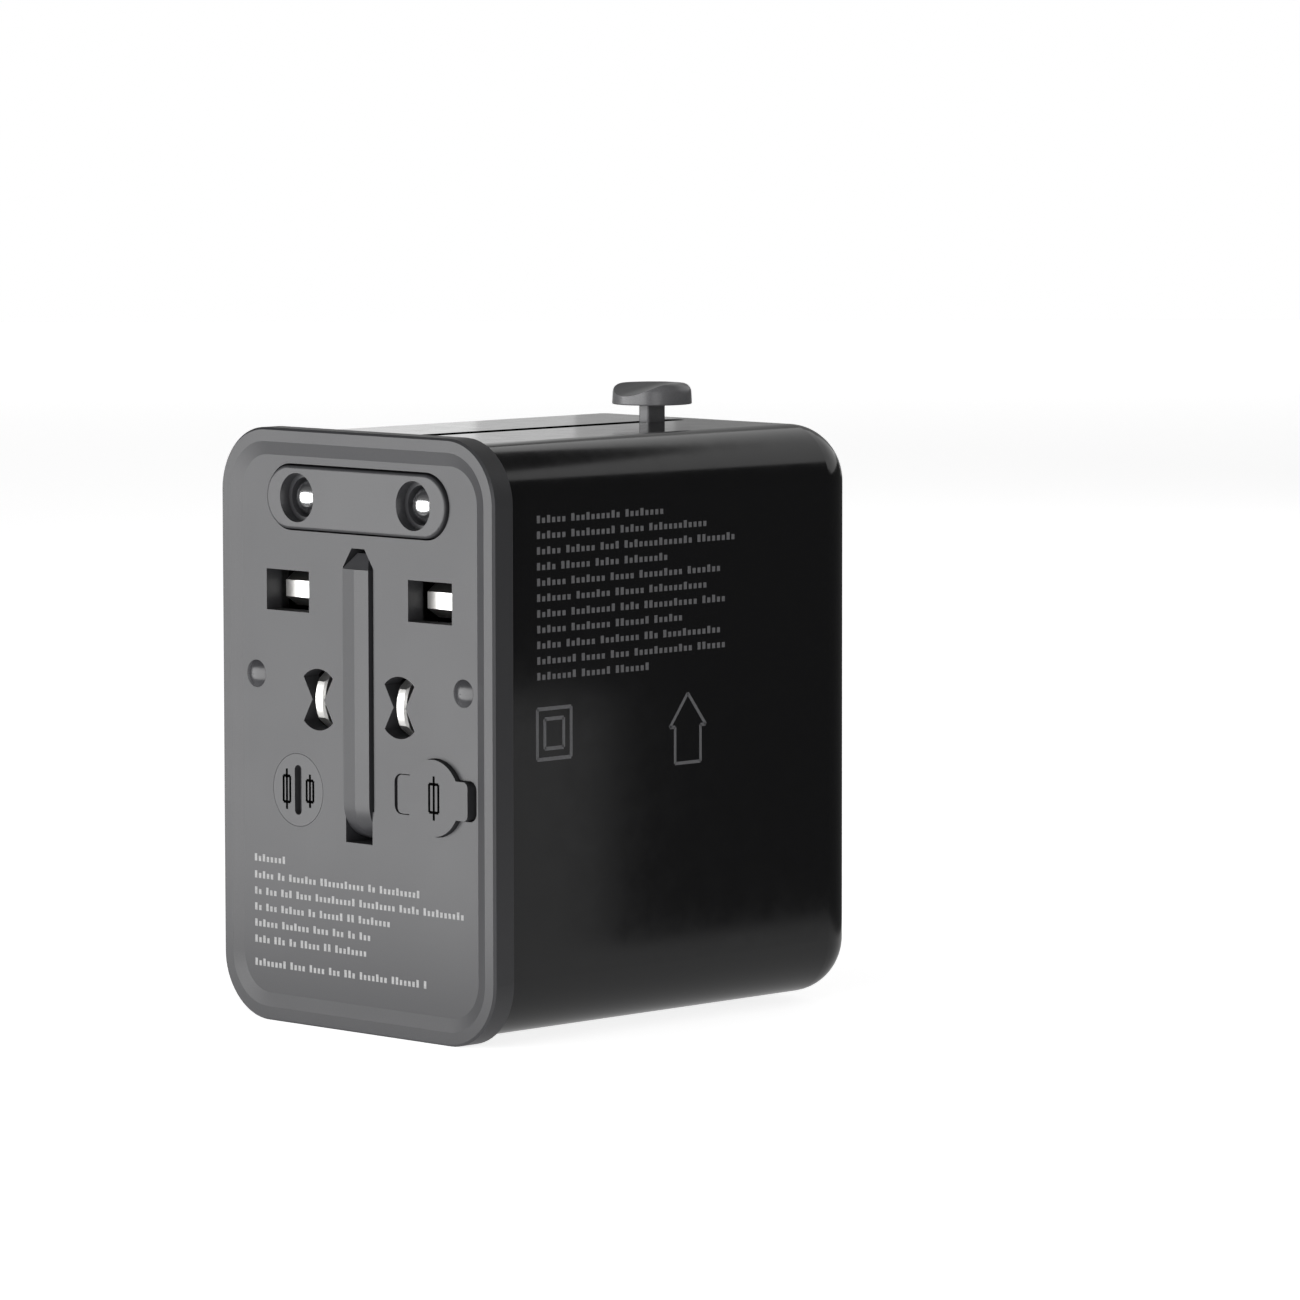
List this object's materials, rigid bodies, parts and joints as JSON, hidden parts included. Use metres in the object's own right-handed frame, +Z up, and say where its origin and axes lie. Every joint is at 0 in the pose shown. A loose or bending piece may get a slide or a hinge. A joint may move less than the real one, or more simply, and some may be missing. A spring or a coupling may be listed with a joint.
{
  "type": "universal travel adapter",
  "caption": "Palm-sized travel plug adapter: slide-out European pins, UK pins, swinging flat blades and a folding earth pin, with a universal socket and USB ports.",
  "frame": {"origin": "centre of the shell's flat underside", "axes": "+X across the plug face, +Y from the plug face to the socket face, +Z up the tall way of the body"},
  "size_m": [0.046, 0.0575, 0.0679],
  "materials": {
    "cover_plastic": "satin",
    "shell_plastic": "high gloss",
    "knob_plastic": "satin",
    "sleeve_plastic": "satin",
    "sheath_plastic": "matt",
    "inner_plastic": "matt",
    "cap_plastic": "satin",
    "pin_chrome": "polished",
    "pin_nickel": "polished",
    "spring_steel": "bright",
    "screw_steel": "plated",
    "contact_brass": "bright",
    "fuse_ceramic": "glazed",
    "fuse_metal": "nickel-plated",
    "board": "solder mask",
    "winding": "tape",
    "can": "sleeved can",
    "port_steel": "plated",
    "tongue_plastic": "matt"
  },
  "bodies": {
    "housing": {"front_cover": "cover_plastic", "main_shell": "shell_plastic", "cover_screws": "screw_steel", "screw_caps": "cap_plastic", "earth_hinge_pin": "screw_steel", "fuse_holder": "inner_plastic", "fuse_springs": "spring_steel", "live_fuse_body": "fuse_ceramic", "live_fuse_caps": "fuse_metal", "chassis": "inner_plastic", "socket_frame": "inner_plastic", "line_contact": "contact_brass", "neutral_contact": "contact_brass", "power_board": "board", "transformer": "winding", "capacitor": "can", "usb_board": "board", "usb_a_ports": "port_steel", "usb_a_tongues": "tongue_plastic", "usb_c_ports": "port_steel", "usb_c_tongues": "tongue_plastic"},
    "earth_pin": {"earth_pin": "cover_plastic"},
    "eu_sleeve": {"eu_sleeve": "sleeve_plastic"},
    "eu_plug": {"eu_carriage": "inner_plastic", "eu_pins": "pin_chrome", "eu_pin_sheaths": "sheath_plastic", "eu_knob_spring": "spring_steel"},
    "eu_knob": {"eu_knob": "knob_plastic"},
    "uk_plug": {"uk_carriage": "inner_plastic", "uk_pins": "pin_nickel", "uk_pin_sheaths": "sheath_plastic"},
    "uk_knob": {"uk_knob": "knob_plastic", "uk_knob_spring": "spring_steel"},
    "us_plug": {"us_carriage": "inner_plastic"},
    "us_knob": {"us_knob": "knob_plastic", "us_knob_spring": "spring_steel"},
    "left_blade": {"left_blade": "pin_nickel", "left_blade_holder": "inner_plastic"},
    "right_blade": {"right_blade": "pin_nickel", "right_blade_holder": "inner_plastic"},
    "fuse_door": {"fuse_door": "cover_plastic"},
    "spare_fuse": {"spare_fuse_body": "fuse_ceramic", "spare_fuse_caps": "fuse_metal"},
    "spare_fuse_cap": {"spare_fuse_cap": "cap_plastic"}
  },
  "joints": [
    {"name": "earth_pin_hinge", "type": "hinge", "parent": "housing", "child": "earth_pin", "pos_m": [0, -0.0246, 0.02395], "axis": [1, 0, 0], "range_deg": [0, 90]},
    {"name": "eu_slide", "type": "slide", "parent": "housing", "child": "eu_plug", "axis": [0, -1, 0], "range_m": [0, 0.0372]},
    {"name": "eu_sleeve_slide", "type": "slide", "parent": "housing", "child": "eu_sleeve", "axis": [0, -1, 0], "range_m": [0, 0.0175]},
    {"name": "eu_knob_press", "type": "slide", "parent": "eu_plug", "child": "eu_knob", "axis": [0, 0, -1], "range_m": [0, 0.0015], "stiffness_N_per_m": 400, "springref_m": -0.0005, "deforming": ["eu_knob_spring"]},
    {"name": "uk_slide", "type": "slide", "parent": "housing", "child": "uk_plug", "axis": [0, -1, 0], "range_m": [0, 0.0204]},
    {"name": "uk_knob_press", "type": "slide", "parent": "uk_plug", "child": "uk_knob", "axis": [1, 0, 0], "range_m": [0, 0.0015], "stiffness_N_per_m": 400},
    {"name": "us_slide", "type": "slide", "parent": "housing", "child": "us_plug", "axis": [0, -1, 0], "range_m": [0, 0.018]},
    {"name": "us_knob_press", "type": "slide", "parent": "us_plug", "child": "us_knob", "axis": [1, 0, 0], "range_m": [0, 0.0015], "stiffness_N_per_m": 400},
    {"name": "left_blade_turn", "type": "hinge", "parent": "us_plug", "child": "left_blade", "pos_m": [-0.00635, 0.0012, 0.03466], "axis": [0, -1, 0], "range_deg": [-30, 30]},
    {"name": "right_blade_turn", "type": "hinge", "parent": "us_plug", "child": "right_blade", "pos_m": [0.00635, 0.0012, 0.03466], "axis": [0, -1, 0], "range_deg": [-30, 30]},
    {"name": "fuse_door_pull", "type": "slide", "parent": "housing", "child": "fuse_door", "axis": [0, -1, 0], "range_m": [0, 0.01]},
    {"name": "spare_fuse_pull", "type": "slide", "parent": "housing", "child": "spare_fuse", "axis": [0, -1, 0], "range_m": [0, 0.012]},
    {"name": "spare_cap_turn", "type": "hinge", "parent": "spare_fuse", "child": "spare_fuse_cap", "pos_m": [-0.00963, -0.027, 0.02466], "axis": [0, -1, 0], "range_deg": [0, 90]}
  ],
  "couplings": [
    {"joint": "eu_sleeve_slide", "follows": "eu_slide", "ratio": 0.4704}
  ]
}
